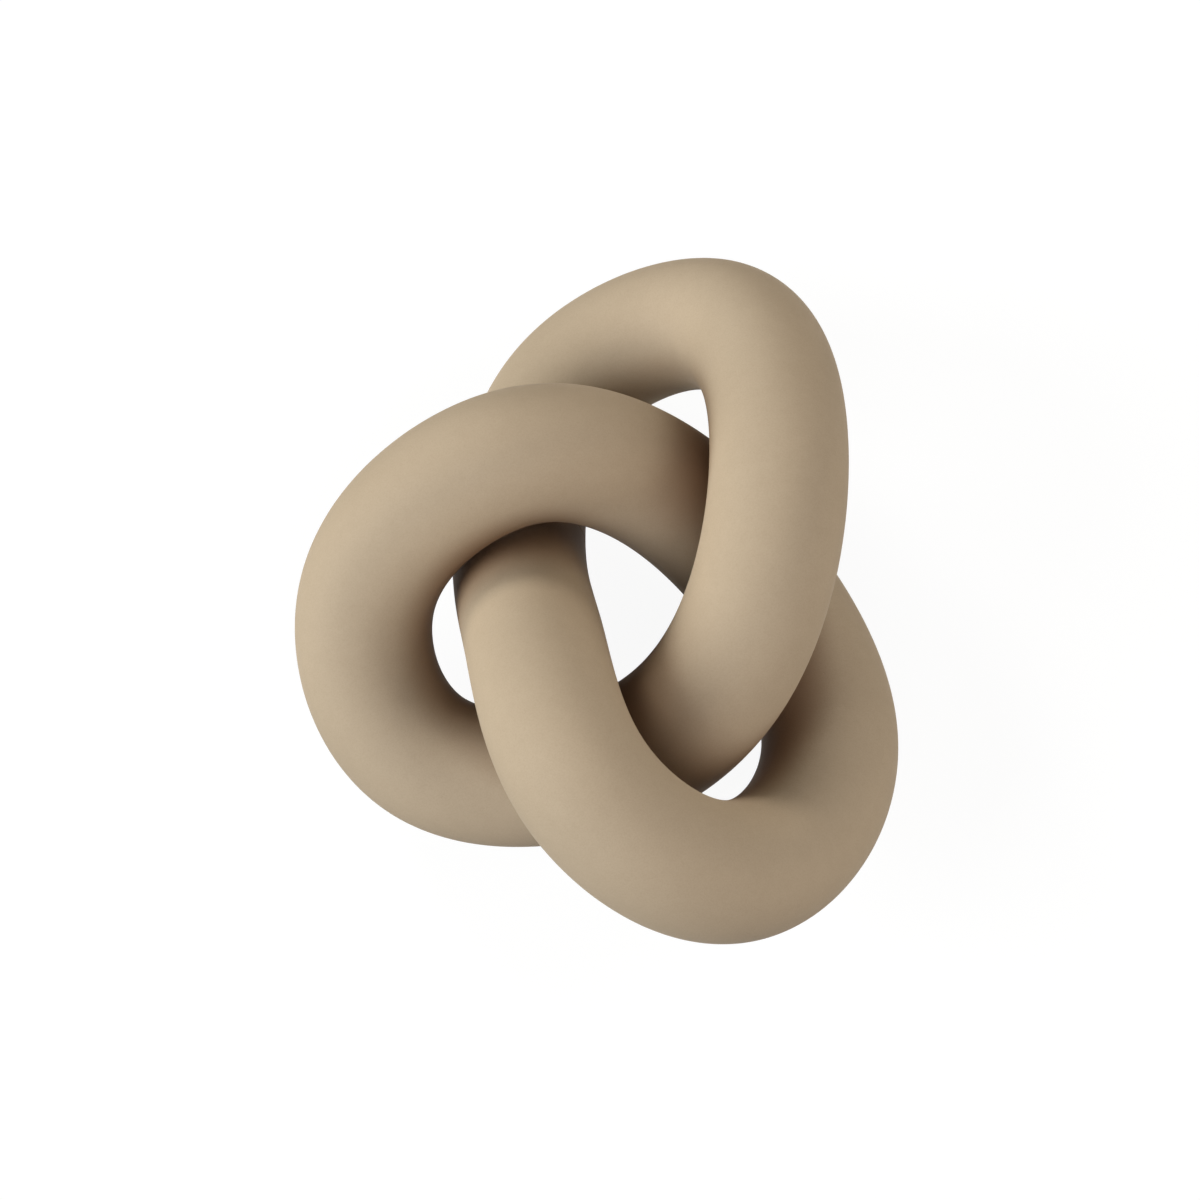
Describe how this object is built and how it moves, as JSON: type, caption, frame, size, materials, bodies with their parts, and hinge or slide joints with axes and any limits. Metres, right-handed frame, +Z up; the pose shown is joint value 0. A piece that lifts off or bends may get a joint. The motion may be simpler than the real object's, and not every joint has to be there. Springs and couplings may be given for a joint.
{
  "type": "knot ornament",
  "caption": "Endless looped knot of thick, hollow, round matte ceramic tube that passes over and under itself, lying flat on felt pads as a shelf or table ornament.",
  "frame": {"origin": "bottom centre of the box round the knot, on the surface that its felt pads rest on", "axes": "+Z up from that surface, +Y to the back towards the upper lobe of the picture, +X to the right"},
  "size_m": [0.1406, 0.1764, 0.0758],
  "materials": {
    "matte_ceramic": "matte, fine-grained, coloured slip coat",
    "joining_slip": "matte, unsanded",
    "felt": "wool felt"
  },
  "bodies": {
    "root": {"upper_lobe_tube": "matte_ceramic", "left_lobe_tube": "matte_ceramic", "right_lobe_tube": "matte_ceramic", "seam_after_upper_lobe": "joining_slip", "seam_after_left_lobe": "joining_slip", "seam_after_right_lobe": "joining_slip", "pad_upper": "felt", "pad_left": "felt", "pad_right": "felt"}
  },
  "joints": []
}
